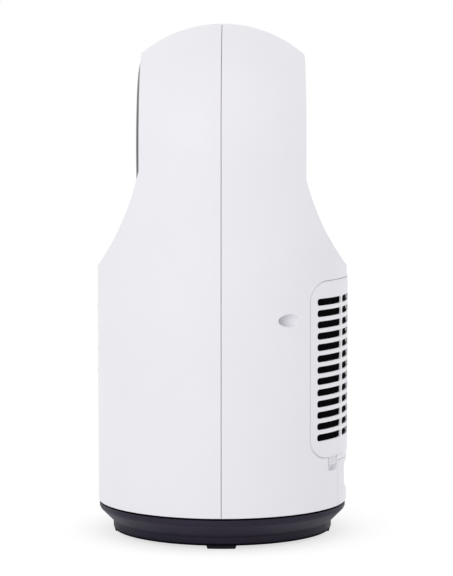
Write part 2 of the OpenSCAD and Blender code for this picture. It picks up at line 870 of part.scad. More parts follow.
module power_panel() {
    color(white) difference() {
        union() {
            intersection() {
                tube_z(panel_inner_r, body_r, body_z, panel_top);
                block([-panel_w / 2, 0, 0], [panel_w / 2, body_d, total_h]);
            }
            for (s = [-1, 1]) intersection() {
                tube_z(panel_inner_r, inner_r - play, floor_top + play, pocket_low + 12);
                translate([s * panel_w / 2, 0, 0]) block([-4, 0, 0], [4, body_d, total_h]);
            }
            intersection() {
                block([-24, well_y - well_t, pocket_low + 0.5], [25, well_top_y, pocket_high - 1]);
                cylinder(r = pocket_floor_r, h = total_h);
            }
            intersection() {
                block([-22, inner_r - 16, floor_top], [22, inner_r, floor_top + 3.5]);
                cylinder(r = inner_r - 1, h = total_h);
            }
        }
        translate([0, 0, body_z - past]) cylinder(r = inner_r, h = floor_top - body_z + past);
        along_x(-panel_w / 2, panel_w / 2) polygon([
            [pocket_floor_r, pocket_low + pocket_bevel],
            [body_r + 0.2, pocket_low - 0.1],
            [body_r + 5, pocket_low - 0.1],
            [body_r + 5, pocket_high + 0.1],
            [body_r + 0.2, pocket_high + 0.1],
            [pocket_floor_r, pocket_high - pocket_bevel]
        ]);
        rod_y(gland_x, outlet_z, gland_well_r, well_y, body_d);
        rod_y(gland_x, outlet_z, gland_neck_r + 0.1, well_y - 2 * well_t, body_d);
        block([rocker_x - rocker_w / 2 - 0.4, well_y, outlet_z - rocker_h / 2 - 0.4],
            [rocker_x + rocker_w / 2 + 0.4, body_d, outlet_z + rocker_h / 2 + 0.4]);
        block([rocker_x - rocker_w / 2 + 0.9, well_y - 2 * well_t, outlet_z - rocker_h / 2 + 0.9],
            [rocker_x + rocker_w / 2 - 0.9, body_d, outlet_z + rocker_h / 2 - 0.9]);
        at_points(panel_feet) translate([0, 0, floor_top - past]) cylinder(r = screw_r, h = 3 + past);
    }
}

module cord_gland() {
    color(gloss) difference() {
        union() {
            rod_y(gland_x, outlet_z, gland_well_r - 0.7, well_y, well_y + 1.5);
            rod_y(gland_x, outlet_z, gland_neck_r, well_y - 8, well_y + gland_l - 8);
            rod_y(gland_x, outlet_z, gland_neck_r + 1.8, well_y - well_t - 1.5, well_y - well_t);
        }
        rod_y(gland_x, outlet_z, cord_r, well_y - 8 - past, well_y + gland_l);
    }
}

module cord_clamp() {
    clamp_y = well_y - 20;
    color(black) difference() {
        block([gland_x - 9, clamp_y, floor_top], [gland_x + 9, clamp_y + 6, outlet_z + cord_r + 3]);
        rod_y(gland_x, outlet_z, cord_r + 0.1, clamp_y - past, clamp_y + 6 + past);
        for (s = [-1, 1]) translate([gland_x + s * 6.8, clamp_y + 3, outlet_z])
            cylinder(r = 1.1, h = total_h);
    }
}

module rocker_housing() {
    x0 = rocker_x - rocker_w / 2;
    x1 = rocker_x + rocker_w / 2;
    z0 = outlet_z - rocker_h / 2;
    z1 = outlet_z + rocker_h / 2;
    color(gloss) difference() {
        union() {
            block([x0, well_y, z0], [x1, well_y + 1.2, z1]);
            block([x0 + 1, well_y - rocker_body_l, z0 + 1], [x1 - 1, well_y + 0.2, z1 - 1]);
            for (x = [-5, 5]) block([rocker_x + x - 0.4, well_y - rocker_body_l - 6, outlet_z - 2.4],
                [rocker_x + x + 0.4, well_y - rocker_body_l + bite, outlet_z + 2.4]);
        }
        block([x0 + 2, well_y - rocker_body_l + 5, z0 + 2], [x1 - 2, well_y + 2, z1 - 2]);
        translate([rocker_x, well_y - 3.5, z0 + 1.2])
            cylinder(r = 1.2 + run_play, h = rocker_h - 2.4);
    }
}

// The rocker stands tilted to OFF, and turns to ON about its upright pin
module rocker() {
    half_l = rocker_w / 2 - 3.1;
    color("#8f1414") translate([rocker_x, well_y - 3.5, 0]) rotate([0, 0, -rocker_tilt])
        intersection() {
            union() {
                translate([0, 0, outlet_z - rocker_h / 2 + 1.5]) cylinder(r = 1.2, h = rocker_h - 3);
                difference() {
                    block([-half_l, -1.5, outlet_z - rocker_h / 2 + 2.3],
                        [half_l, 6.4, outlet_z + rocker_h / 2 - 2.3]);
                    translate([0, 6.2 + 24, 0]) cylinder(r = 24.6, h = total_h);
                }
            }
            cylinder(r = rocker_r, h = total_h);
        }
}

module control_panel() {
    color(white) difference() {
        intersection() {
            along_y(-body_d, 0) round_rect(strip_w, strip_z, strip_h, strip_corner);
            tube_z(body_r - strip_t, body_r, 0, total_h);
        }
        for (i = [0 : 3]) rod_y(0, button_z0 + i * button_pitch, button_d / 2 + play, -body_d, 0);
    }
}

module push_button(i) {
    z = button_z0 + i * button_pitch;
    intersection() {
        union() {
            rod_y(0, z, button_d / 2, -body_r, -body_r + 5);
            rod_y(0, z, button_d / 2 + 1, -inner_r + 1, -inner_r + 1 + button_flange_t);
            rod_y(0, z, 2.2, -inner_r + 1, stem_end_y);
        }
        cylinder(r = button_face_r, h = total_h);
    }
}

module power_button() { color("silver") push_button(3); }
module heat_button() { color("silver") push_button(2); }
module swing_button() { color("silver") push_button(1); }
module timer_button() { color("silver") push_button(0); }

module control_board() {
    color("darkgreen") difference() {
        block([-control_w / 2, control_y, strip_z - 2],
            [control_w / 2, control_y + board_t, strip_z + strip_h + 2]);
        for (p = control_posts) rod_y(p[0], p[1], screw_r, control_y - past, control_y + board_t + past);
    }
}

module tact_switches() {
    color("dimgray") for (i = [0 : 3]) {
        z = button_z0 + i * button_pitch;
        block([-3, control_y - switch_h, z - 3], [3, control_y, z + 3]);
        rod_y(0, z, 1.7, control_y - switch_h - plunger_h, control_y - switch_h + bite);
    }
}

// One grille slot with rounded corners, centred
module slot_outline() {
    round_rect(slot_w, -slot_h / 2, slot_h, slot_corner);
}

module intake_grille() {
    color(white) {
        difference() {
            intersection() {
                along_y(0, body_d) round_rect(grille_w, grille_z, grille_h, grille_corner);
                tube_z(grille_r - grille_t, grille_r, 0, total_h);
            }
            along_y(0, body_d) for (row = [0 : slot_rows - 1], column = [0 : slot_columns - 1])
                translate([
                    (column - (slot_columns - 1) / 2) * slot_column_pitch,
                    slot_z0 + row * slot_pitch
                ]) slot_outline();
        }
        grille_skirt();
        for (s = [-1, 1]) latch_tab(s);
    }
}

// Wall round the back of the grille that holds the filter
module grille_skirt() {
    inset = window_in + 0.5;
    intersection() {
        along_y(0, body_d) difference() {
            round_rect(grille_w - 2 * inset, grille_z + inset + 1.7,
                grille_h - 2 * inset - 2.4, grille_corner - inset);
            round_rect(grille_w - 2 * inset - 2 * skirt_t, grille_z + inset + 1.7 + skirt_t,
                grille_h - 2 * inset - 2.4 - 2 * skirt_t, grille_corner - inset - skirt_t);
        }
        tube_z(skirt_r, grille_r - grille_t + bite, 0, total_h);
    }
}

// Ridged thumb tab in the hollow under the grille
module latch_tab(s) {
    intersection() {
        translate([s * latch_x, 0, 0])
            block([-latch_w / 2 + 1.2, 0, grille_z - latch_h + 3.6],
                [latch_w / 2 - 1.2, body_d, grille_z + bite]);
        union() {
            tube_z(tab_r, tab_r + 2.4, 0, total_h);
            for (i = [0 : 3]) rotate_extrude()
                translate([tab_r + 2.4, grille_z - latch_h + 4.6 + i * 1.4]) circle(r = ridge_r);
        }
    }
}

// Outline of the filter, inside the grille's skirt
module filter_outline(inset) {
    full = window_in + 0.5 + skirt_t + 0.3 + inset;
    round_rect(grille_w - 2 * full, grille_z + full + 1.7,
        grille_h - 2 * full - 2.4, max(2, grille_corner - full));
}

module filter_foam() {
    color("#101014") intersection() {
        along_y(0, body_d) filter_outline(0);
        tube_z(foam_r, grille_r - grille_t - 0.1, 0, total_h);
    }
}

module filter_frame() {
    rib = 3;
    color(black) intersection() {
        along_y(0, body_d) {
            difference() {
                filter_outline(0);
                filter_outline(rib);
            }
            intersection() {
                filter_outline(0);
                union() {
                    for (x = [-18, 18]) translate([x - rib / 2, 0]) square([rib, total_h]);
                    for (f = [1, 2]) translate([-body_r, grille_z + f * grille_h / 3 - rib / 2])
                        square([body_d, rib]);
                }
            }
        }
        tube_z(skirt_r + 0.2, foam_r - 0.1, 0, total_h);
    }
}

// Spiral outline of the blower housing about the fan's axis, grown by a wall
function volute(grow) = concat(
    [for (i = [0 : volute_steps])
        let (a = volute_from - i * volute_turn / volute_steps,
            r = volute_start + volute_grow * i / volute_steps + grow)
            [r * cos(a), fan_z + r * sin(a)]],
    [[outlet_x0 - grow, outlet_top], [outlet_x1 + grow, outlet_top]]
);

// Screw ears round the scroll, which stop short of the joint so that the rims meet first
module scroll_ears(y0) {
    for (p = scroll_ear_points) difference() {
        union() {
            rod_y(p[0], p[1], 4, y0, y0 + ear_t);
            translate([p[0], y0, p[1]]) rotate([0, p[2], 0])
                block([-5, 0, -3], [0, ear_t, 3]);
        }
        rod_y(p[0], p[1], screw_r, y0 - past, y0 + ear_t + past);
    }
}

scroll_ear_points = [
    for (a = [20, -60, -120])
        let (r = volute_start + volute_grow * (volute_from - a) / volute_turn + scroll_wall + 2.8)
            [r * cos(a), fan_z + r * sin(a), -a],
    [outlet_x0 - scroll_wall - 2.8, outlet_top - 33, 180]
];

module scroll_front() {
    color("lightgray") difference() {
        union() {
            along_y(scroll_y0, scroll_mid) polygon(volute(scroll_wall));
            scroll_ears(scroll_mid - ear_gap - ear_t);
            for (s = [-1, 1]) translate([s * scroll_foot_x, 0, 0]) {
                block([-scroll_foot_w / 2, scroll_y0, floor_top],
                    [scroll_foot_w / 2, scroll_y0 + 4, fan_z - 20]);
                block([-scroll_foot_w / 2, scroll_foot_y - 5, floor_top],
                    [scroll_foot_w / 2, scroll_y0 + 4, floor_top + 4]);
            }
        }
        along_y(scroll_y0 + scroll_wall, scroll_mid + past) polygon(volute(0));
        block([outlet_x0, scroll_y0 + scroll_wall, outlet_top - 1],
            [outlet_x1, scroll_mid + past, outlet_top + 3]);
        rod_y(0, fan_z, 12, scroll_y0 - past, scroll_mid);
        at_motor_mounts() rod_y(0, 0, screw_r, scroll_y0 - past, scroll_mid - past);
        at_points(scroll_feet) translate([0, 0, floor_top - past]) cylinder(r = screw_r, h = 3.6 + past);
    }
}

module scroll_rear() {
    color("lightgray") difference() {
        union() {
            along_y(scroll_mid, scroll_y1) polygon(volute(scroll_wall));
            scroll_ears(scroll_mid + ear_gap);
            tube_y(0, fan_z, inlet_r, inlet_r + 2, scroll_y1 - bite, scroll_y1 + 2);
        }
        along_y(scroll_mid - past, scroll_y1 - scroll_wall) polygon(volute(0));
        block([outlet_x0, scroll_mid - past, outlet_top - 1],
            [outlet_x1, scroll_y1 - scroll_wall, outlet_top + 3]);
        rod_y(0, fan_z, inlet_r, scroll_mid, scroll_y1 + 5);
    }
}

module scroll_screws() {
    scroll_head_y = scroll_mid + ear_gap + ear_t;
    color(steel) for (p = scroll_ear_points) {
        rod_y(p[0], p[1], screw_head_r, scroll_head_y, scroll_head_y + screw_head_t);
        rod_y(p[0], p[1], screw_r - screw_play, scroll_mid - ear_t, scroll_head_y + bite);
    }
}

module at_motor_mounts() {
    for (a = [90, 210, 330])
        translate([motor_mount_r * cos(a), 0, fan_z + motor_mount_r * sin(a)]) children();
}

module motor_case() {
    color("#9a9da3") difference() {
        union() {
            rod_y(0, fan_z, motor_r, motor_y0, motor_y1);
            rod_y(0, fan_z, motor_flange_r, motor_y1 - 2, motor_y1);
        }
        rod_y(0, fan_z, motor_r - motor_wall, motor_y0 + motor_wall, motor_y1 - 2);
        rod_y(0, fan_z, bush_r, motor_y0 - past, motor_y1 + past);
        at_motor_mounts() rod_y(0, 0, screw_r + 0.2, motor_y1 - 2 - past, motor_y1 + past);
    }
}

module motor_bushes() {
    color("peru") for (y = [motor_y0, motor_y1 - 2])
        tube_y(0, fan_z, shaft_r + run_play, bush_r - 0.05, y, y + 2);
}

module motor_grommets() {
    color("dimgray") at_motor_mounts() tube_y(0, 0, screw_r + 0.1, grommet_r, motor_y1, scroll_y0);
}

module motor_screws() {
    color(steel) at_motor_mounts() {
        rod_y(0, 0, screw_head_r, motor_y1 - 2 - screw_head_t, motor_y1 - 2);
        rod_y(0, 0, screw_r - screw_play, motor_y1 - 2 - bite, scroll_y0 + scroll_wall - 0.2);
    }
}

module motor_shaft() {
    color(steel) rod_y(0, fan_z, shaft_r, motor_y0 - 0.8, wheel_y0 + 27);
}

module motor_rotor() {
    color("sienna") tube_y(0, fan_z, shaft_r + 0.02, rotor_r, motor_y0 + 5, motor_y1 - 7);
}

module impeller() {
    color("#3b3b42") {
        tube_y(0, fan_z, shaft_r + 0.02, wheel_r, wheel_y0, wheel_y0 + 2);
        tube_y(0, fan_z, shaft_r + 0.02, 7, wheel_y0 - 1, wheel_y0 + 20);
        tube_y(0, fan_z, wheel_r - 3, wheel_r, wheel_y1 - 2, wheel_y1);
        for (i = [0 : blade_count - 1])
            translate([0, 0, fan_z]) rotate([0, i * 360 / blade_count, 0])
                translate([wheel_r - 5.6, 0, 0]) rotate([0, 25, 0])
                    block([-5, wheel_y0 + 1, -0.5], [4, wheel_y1 - 1, 0.5]);
    }
}

module impeller_nut() {
    color(steel) translate([0, wheel_y0 + 20, fan_z]) rotate([-90, 0, 0]) difference() {
        cylinder(r = 4, h = 3.2, $fn = 6);
        translate([0, 0, -past]) cylinder(r = shaft_r + 0.02, h = 6);
    }
}

// Rectangular frame round the heater, seen from above
module heater_frame_plan(x0, x1, y0, y1, t) {
    difference() {
        translate([x0, y0]) square([x1 - x0, y1 - y0]);
        translate([x0 + t, y0 + t]) square([x1 - x0 - 2 * t, y1 - y0 - 2 * t]);
    }
}

module outlet_gasket() {
    color("#55534f") translate([0, 0, outlet_top]) linear_extrude(gasket_t)
        heater_frame_plan(heater_x0, heater_x1, scroll_y0, scroll_y1, scroll_wall);
}

module heater_frame() {
    color("#d9d2c0") difference() {
        translate([0, 0, heater_z]) linear_extrude(heater_h)
            heater_frame_plan(heater_x0, heater_x1, scroll_y0, scroll_y1, 2 * scroll_wall);
        for (i = [-1, 0, 1]) block([heater_x1 - 6, scroll_mid + i * 12 - 3.2, heater_z + heater_h / 2 - 0.6],
            [heater_x1 + past, scroll_mid + i * 12 + 3.2, heater_z + heater_h / 2 + 0.6]);
    }
}

module heater_elements() {
    x0 = heater_x0 + 2 * scroll_wall + 0.2;
    x1 = heater_x1 - 2 * scroll_wall - 0.2;
    y0 = scroll_y0 + 2 * scroll_wall + 0.2;
    y1 = scroll_y1 - 2 * scroll_wall - 0.2;
    z0 = heater_z + (heater_h - heater_strip_h) / 2;
    color("#c7c9cc") {
        for (i = [0 : strip_count - 1]) {
            y = y0 + i * (y1 - y0 - 2) / (strip_count - 1);
            block([x0, y, z0], [x1, y + 2, z0 + heater_strip_h]);
        }
        for (i = [0 : fin_count - 1]) {
            x = x0 + i * (x1 - x0 - 0.8) / (fin_count - 1);
            block([x, y0, z0 + 1], [x + 0.8, y1, z0 + heater_strip_h - 1]);
        }
    }
}

module heater_terminals() {
    color("gold") for (i = [-1, 0, 1])
        block([heater_x1 - 2 * scroll_wall - 0.2, scroll_mid + i * 12 - 3, heater_z + heater_h / 2 - 0.4],
            [heater_x1 + 8, scroll_mid + i * 12 + 3, heater_z + heater_h / 2 + 0.4]);
}

module thermal_cutout() {
    z = heater_z + heater_h / 2;
    color("silver") {
        rod_y(heater_mid_x, z, 7, scroll_y0 - 4, scroll_y0);
        rod_y(heater_mid_x, z, 5, scroll_y0 - 8, scroll_y0 - 4 + bite);
        block([heater_mid_x - 12, scroll_y0 - 0.8, z - 4], [heater_mid_x + 12, scroll_y0, z + 4]);
    }
}

module duct_adapter() {
    color("lightgray") difference() {
        union() {
            block([heater_x0, scroll_y0, heater_top], [heater_x1, scroll_y1, duct_plate_z + bite]);
            intersection() {
                body_form(wall + 0.4, body_z);
                block([-body_d, -body_d, duct_plate_z],
                    [body_d, scroll_y1 + 4, duct_plate_z + duct_plate_t]);
            }
            along_y(scroll_y0, scroll_y1) polygon(duct_outline(scroll_wall));
        }
        along_y(scroll_y0 + scroll_wall, scroll_y1 - scroll_wall) polygon(duct_outline(0));
        block([heater_x0 + scroll_wall, scroll_y0 + scroll_wall, heater_top - past],
            [heater_x1 - scroll_wall, scroll_y1 - scroll_wall, duct_plate_z + 0.5]);
    }
}

// Outline of the duct that leads from the heater to the middle of the head
function duct_outline(grow) = [
    [outlet_x0 - grow, duct_plate_z + (grow > 0 ? 0.2 : -past)],
    [outlet_x1 + grow, duct_plate_z + (grow > 0 ? 0.2 : -past)],
    [duct_half_w + grow, duct_top + (grow > 0 ? 0 : past)],
    [-duct_half_w - grow, duct_top + (grow > 0 ? 0 : past)]
];

module power_board() {
    color("darkgreen") difference() {
        block([-board_half_w, board_y0, board_z], [board_half_w, board_y1, board_top]);
        at_points(board_posts) translate([0, 0, board_z - past])
            cylinder(r = screw_r, h = board_t + 2 * past);
    }
}

module relays() {
    color("#2b5ea8") for (x = [-24, -3])
        block([x, board_y0 + 14, board_top], [x + 16, board_y0 + 33, board_top + 11]);
}

module capacitors() {
    color("#222a55") {
        for (dy = [11, 23]) translate([20, board_y0 + dy, board_top]) cylinder(r = 5, h = 10);
        block([-10, board_y0 + 35, board_top], [8, board_y0 + 43, board_top + 9]);
    }
}

module terminal_block() {
    color("green") difference() {
        block([-24, board_y0 + 2, board_top], [4, board_y0 + 10, board_top + 9]);
        for (i = [0 : 3]) rod_y(-20.5 + i * 7, board_top + 4, 1.5, board_y0 + 1, board_y0 + 7);
    }
}

module board_screws() {
    color(steel) {
        at_points(board_posts) {
            translate([0, 0, board_top]) cylinder(r = screw_head_r, h = screw_head_t);
            translate([0, 0, floor_top + 1]) cylinder(r = screw_r - 0.3, h = board_top - floor_top);
        }
        for (p = control_posts) {
            rod_y(p[0], p[1], screw_head_r, control_y + board_t, control_y + board_t + screw_head_t);
            rod_y(p[0], p[1], screw_r - 0.3, control_y - 5, control_y + board_t + bite);
        }
    }
}

module tip_switch_housing() {
    color("whitesmoke") difference() {
        block([tip_x - tip_w / 2, tip_y - tip_l / 2, floor_top],
            [tip_x + tip_w / 2, tip_y + tip_l / 2, floor_top + tip_h]);
        block([tip_x - tip_w / 2 + tip_wall, tip_y - tip_l / 2 + tip_wall, floor_top + tip_wall],
            [tip_x + tip_w / 2 - tip_wall, tip_y + tip_l / 2 - tip_wall, floor_top + tip_h - tip_wall]);
        translate([tip_x - tip_w, tip_y, tip_pivot_z]) rotate([0, 90, 0])
            cylinder(r = 1 + run_play, h = 2 * tip_w);
    }
}

// Weight that hangs plumb and lets go of the contacts when the heater falls
module tip_pendulum() {
    color(steel) {
        translate([tip_x - tip_w / 2 + 0.3, tip_y, tip_pivot_z]) rotate([0, 90, 0])
            cylinder(r = 1, h = tip_w - 0.6);
        translate([tip_x, tip_y, tip_pivot_z - pendulum_l]) cylinder(r = 0.9, h = pendulum_l);
        translate([tip_x, tip_y, tip_pivot_z - pendulum_l]) cylinder(r = 3, h = 6, center = true);
    }
}

// Direction of a wire's route at one of its points
function unit(v) = v / norm(v);
function wire_way(route, i) =
    i == 0 ? unit(route[1] - route[0])
    : i == len(route) - 1 ? unit(route[i] - route[i - 1])
    : unit(unit(route[i] - route[i - 1]) + unit(route[i + 1] - route[i]));

// Points round a wire at one point of its route, which never runs along Y
function wire_ring(route, i) =
    let (way = wire_way(route, i), side = unit(cross(way, [0, 1, 0])), up = cross(way, side))
        [for (k = [0 : wire_sides - 1])
            route[i] + wire_r * (cos(k * 360 / wire_sides) * side + sin(k * 360 / wire_sides) * up)];

// Insulated wire that bends at each point of its route
module wire(route) {
    last = len(route) - 1;
    polyhedron(
        points = [for (i = [0 : last]) each wire_ring(route, i)],
        faces = concat(
            [[for (k = [0 : wire_sides - 1]) k]],
            [for (i = [0 : last - 1], k = [0 : wire_sides - 1], half = [0, 1])
                let (a = i * wire_sides, next = (k + 1) % wire_sides)
                    half == 0 ? [a + k, a + wire_sides + k, a + wire_sides + next]
                    : [a + k, a + wire_sides + next, a + next]],
            [[for (k = [0 : wire_sides - 1]) last * wire_sides + wire_sides - 1 - k]]
        )
    );
}

module heater_leads() {
    z = heater_z + heater_h / 2;
    color("#b03028") for (i = [-1, 0, 1]) {
        y = scroll_mid + 8 + i * 4;
        wire([
            [heater_x1 + 8.05, scroll_mid + i * 12, z], [heater_x1 + 13, scroll_mid + i * 12, z],
            [lead_x, y, z - 8],
            [lead_x, y, board_top + 16], [board_half_w - 4, y + 1, board_top + 3],
            [board_half_w - 4, y + 1, board_top]
        ]);
    }
}

module motor_lead() {
    color("#303030") wire([
        [12, motor_y0 + 6, fan_z - sqrt(motor_r * motor_r - 121) - 0.3],
        [12, motor_y0 + 6, fan_z - motor_r - 6],
        [scroll_foot_x - 8, scroll_y0 - 9, fan_z - 42],
        [scroll_foot_x - 8, scroll_y0 - 9, board_top + 12],
        [scroll_foot_x - 15, board_y0 + 4, board_top + 3],
        [scroll_foot_x - 15, board_y0 + 4, board_top]
    ]);
}

base_tray();
foot_pads();
slip_ring();
ring_gear();
gear_screws();
floor_plate();
hub_retainer();
retainer_screws();
floor_screws();
front_shell();
rear_shell();
shell_screws();
nozzle_ring();
ring_screws();
ring_liner();
power_panel();
cord_gland();
cord_clamp();
rocker_housing();
rocker();
control_panel();
power_button();
heat_button();
swing_button();
timer_button();
control_board();
tact_switches();
intake_grille();
filter_foam();
filter_frame();
scroll_front();
scroll_rear();
scroll_screws();
motor_case();
motor_bushes();
motor_grommets();
motor_screws();
motor_shaft();
motor_rotor();
impeller();
impeller_nut();
outlet_gasket();
heater_frame();
heater_elements();
heater_terminals();
thermal_cutout();
duct_adapter();
power_board();
relays();
capacitors();
terminal_block();
board_screws();
swing_motor();
swing_motor_screws();
swing_pinion();
tip_switch_housing();
tip_pendulum();
heater_leads();
motor_lead();
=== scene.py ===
import json
import math

import bmesh
import bpy
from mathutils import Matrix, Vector, noise as lattice
from mathutils.bvhtree import BVHTree


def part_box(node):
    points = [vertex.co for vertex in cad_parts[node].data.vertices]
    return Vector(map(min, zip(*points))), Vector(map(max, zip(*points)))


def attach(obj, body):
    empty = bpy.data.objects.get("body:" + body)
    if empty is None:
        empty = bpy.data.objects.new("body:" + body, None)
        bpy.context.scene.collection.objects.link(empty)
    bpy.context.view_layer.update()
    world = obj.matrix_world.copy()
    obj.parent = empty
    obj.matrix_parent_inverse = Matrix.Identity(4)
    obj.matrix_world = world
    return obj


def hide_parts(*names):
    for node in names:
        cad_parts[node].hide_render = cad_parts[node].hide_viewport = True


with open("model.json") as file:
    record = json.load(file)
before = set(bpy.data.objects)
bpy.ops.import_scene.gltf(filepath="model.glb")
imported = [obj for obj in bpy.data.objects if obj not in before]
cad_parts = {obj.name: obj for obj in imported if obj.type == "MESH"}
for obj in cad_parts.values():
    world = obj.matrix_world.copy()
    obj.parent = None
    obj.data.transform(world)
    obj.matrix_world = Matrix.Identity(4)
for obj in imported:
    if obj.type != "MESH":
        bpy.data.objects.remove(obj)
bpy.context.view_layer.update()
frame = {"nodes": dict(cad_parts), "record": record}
nodes = frame["nodes"]


# Materials

def new_material(name, colour, roughness, metallic=0.0):
    """Principled material with constants on the shader's own sockets."""
    material = bpy.data.materials.new(name)
    material.use_nodes = True
    tree = material.node_tree
    shader = tree.nodes["Principled BSDF"]
    shader.inputs["Base Color"].default_value = (*colour, 1)
    shader.inputs["Roughness"].default_value = roughness
    shader.inputs["Metallic"].default_value = metallic
    where = tree.nodes.new("ShaderNodeTexCoord")
    return material, tree, shader, where


def place(tree, where, texture, stretch=None, turn=None):
    """Feeds a texture with the object's own coordinates, stretched or turned if asked."""
    if stretch or turn:
        mapping = tree.nodes.new("ShaderNodeMapping")
        mapping.inputs["Scale"].default_value = stretch or (1, 1, 1)
        mapping.inputs["Rotation"].default_value = turn or (0, 0, 0)
        tree.links.new(where.outputs["Object"], mapping.inputs["Vector"])
        tree.links.new(mapping.outputs["Vector"], texture.inputs["Vector"])
    else:
        tree.links.new(where.outputs["Object"], texture.inputs["Vector"])


def noise(tree, where, scale, detail=3.0, stretch=None):
    """Noise over the object's own coordinates, in features per metre."""
    texture = tree.nodes.new("ShaderNodeTexNoise")
    texture.inputs["Scale"].default_value = scale
    texture.inputs["Detail"].default_value = detail
    place(tree, where, texture, stretch)
    return texture.outputs["Fac"]


def cells(tree, where, scale, feature="F1", output="Distance"):
    """Voronoi cells over the object's own coordinates, in cells per metre."""
    texture = tree.nodes.new("ShaderNodeTexVoronoi")
    texture.feature = feature
    texture.inputs["Scale"].default_value = scale
    place(tree, where, texture)
    return texture.outputs[output]


def spread(tree, value, low, high, start=0.3, end=0.7):
    """Maps the range start to end of a value onto low to high."""
    node = tree.nodes.new("ShaderNodeMapRange")
    node.inputs["From Min"].default_value = start
    node.inputs["From Max"].default_value = end
    node.inputs["To Min"].default_value = low
    node.inputs["To Max"].default_value = high
    tree.links.new(value, node.inputs["Value"])
    return node.outputs["Result"]


def between(tree, value, dark, light, start=0.3, end=0.7):
    """Colour that runs between two colours by a value."""
    ramp = tree.nodes.new("ShaderNodeValToRGB")
    ramp.color_ramp.elements[0].position = start
    ramp.color_ramp.elements[0].color = (*dark, 1)
    ramp.color_ramp.elements[1].position = end
    ramp.color_ramp.elements[1].color = (*light, 1)
    tree.links.new(value, ramp.inputs["Fac"])
    return ramp.outputs["Color"]


def over(tree, factor, under, colour):
    """Lays one colour over another by a factor."""
    mix = tree.nodes.new("ShaderNodeMix")
    mix.data_type = "RGBA"
    mix.clamp_factor = True
    factor_in, under_in, colour_in = mix.inputs[0], mix.inputs[6], mix.inputs[7]
    tree.links.new(factor, factor_in)
    tree.links.new(under, under_in)
    colour_in.default_value = (*colour, 1)
    return mix.outputs[2]


def soft_edge(tree, radius):
    """The small edge radius of a moulding or a pressing, as shading."""
    bevel = tree.nodes.new("ShaderNodeBevel")
    bevel.samples = 4
    bevel.inputs["Radius"].default_value = radius
    return bevel.outputs["Normal"]


# Cosine of the turn of the normal at which an edge counts as fully worn
WORN_COSINE = 0.9


def edge_mask(tree, edge):
    """1 along sharp edges and 0 on open faces, from how far the soft edge turns the normal."""
    face = tree.nodes.new("ShaderNodeNewGeometry")
    dot = tree.nodes.new("ShaderNodeVectorMath")
    dot.operation = "DOT_PRODUCT"
    tree.links.new(edge, dot.inputs[0])
    tree.links.new(face.outputs["Normal"], dot.inputs[1])
    return spread(tree, dot.outputs["Value"], 1.0, 0.0, WORN_COSINE, 1.0)


def relief(tree, shader, value, distance, edge=None):
    """Raises the surface by a value, on top of the soft edges if these are given."""
    bump = tree.nodes.new("ShaderNodeBump")
    bump.inputs["Distance"].default_value = distance
    tree.links.new(value, bump.inputs["Height"])
    if edge:
        tree.links.new(edge, bump.inputs["Normal"])
    tree.links.new(bump.outputs["Normal"], shader.inputs["Normal"])


def gloss_facing(tree, shader, facing_level, grazing_level):
    """Specular level that falls off towards the silhouette, as the photo's near-black edge shows."""
    weight = tree.nodes.new("ShaderNodeLayerWeight")
    level = spread(tree, weight.outputs["Facing"], facing_level, grazing_level, 0.35, 0.85)
    tree.links.new(level, shader.inputs["Specular IOR Level"])


def scaled(colour, k):
    """A colour times k, no channel above white."""
    return tuple(min(1.0, c * k) for c in colour)


def moulded(name, colour, roughness, vary=0.03, rough_vary=0.05, grain=1500, depth=0.00002,
            patch=14, specular=0.5, edge_radius=0.0004, edge_tone=1.0, coat=0.0, painted_shade_reach=0.0):
    """Moulded plastic: cloudy shade, uneven gloss, fine spark-eroded grain and worn edges.
    The last argument is how far the painted shade under close neighbours reaches."""
    material, tree, shader, where = new_material(name, colour, roughness)
    shader.inputs["Specular IOR Level"].default_value = specular
    shader.inputs["Coat Weight"].default_value = coat
    shader.inputs["Coat Roughness"].default_value = 0.06
    cloud = noise(tree, where, patch, 4)
    shade = between(tree, cloud, scaled(colour, 1 - vary), scaled(colour, 1 + vary))
    edge = soft_edge(tree, edge_radius)
    if edge_tone != 1.0:
        worn = tree.nodes.new("ShaderNodeMath")
        worn.operation = "MULTIPLY"
        tree.links.new(edge_mask(tree, edge), worn.inputs[0])
        tree.links.new(spread(tree, noise(tree, where, 220, 4), 0.0, 0.8), worn.inputs[1])
        shade = over(tree, worn.outputs[0], shade, scaled(colour, edge_tone))
    # Painted shade: ambient occlusion darkens the colour and takes away the specular where close neighbours
    # stand
    if painted_shade_reach:
        shelter = tree.nodes.new("ShaderNodeAmbientOcclusion")
        shelter.samples = 8
        shelter.inputs["Distance"].default_value = painted_shade_reach
        painted_shade = spread(tree, shelter.outputs["AO"], 1.0, 0.0, 0.5, 0.8)
        shade = over(tree, painted_shade, shade, scaled(colour, 0.1))
        painted_shade_specular = spread(tree, shelter.outputs["AO"], 0.0, specular, 0.5, 0.8)
        tree.links.new(painted_shade_specular, shader.inputs["Specular IOR Level"])
    tree.links.new(shade, shader.inputs["Base Color"])
    gloss = spread(tree, noise(tree, where, patch * 3, 5), roughness - rough_vary, roughness + rough_vary)
    tree.links.new(gloss, shader.inputs["Roughness"])
    relief(tree, shader, noise(tree, where, grain, 2), depth, edge)
    return material


def metal(name, colour, roughness, stretch=(1, 1, 1), streak=900, depth=0.000006, stain=0.12):
    """Drawn or plated metal: fine streaks one way, stains and brighter worn edges."""
    material, tree, shader, where = new_material(name, colour, roughness, 1.0)
    streaks = noise(tree, where, streak, 3, stretch)
    edge = soft_edge(tree, 0.00015)
    stains = noise(tree, where, 90, 5)
    shade = between(tree, stains, scaled(colour, 1 - stain), scaled(colour, 1 + stain / 2))
    shade = over(tree, edge_mask(tree, edge), shade, scaled(colour, 1.25))
    tree.links.new(shade, shader.inputs["Base Color"])
    tree.links.new(spread(tree, streaks, roughness * 0.75, roughness * 1.3), shader.inputs["Roughness"])
    relief(tree, shader, streaks, depth, edge)
    return material


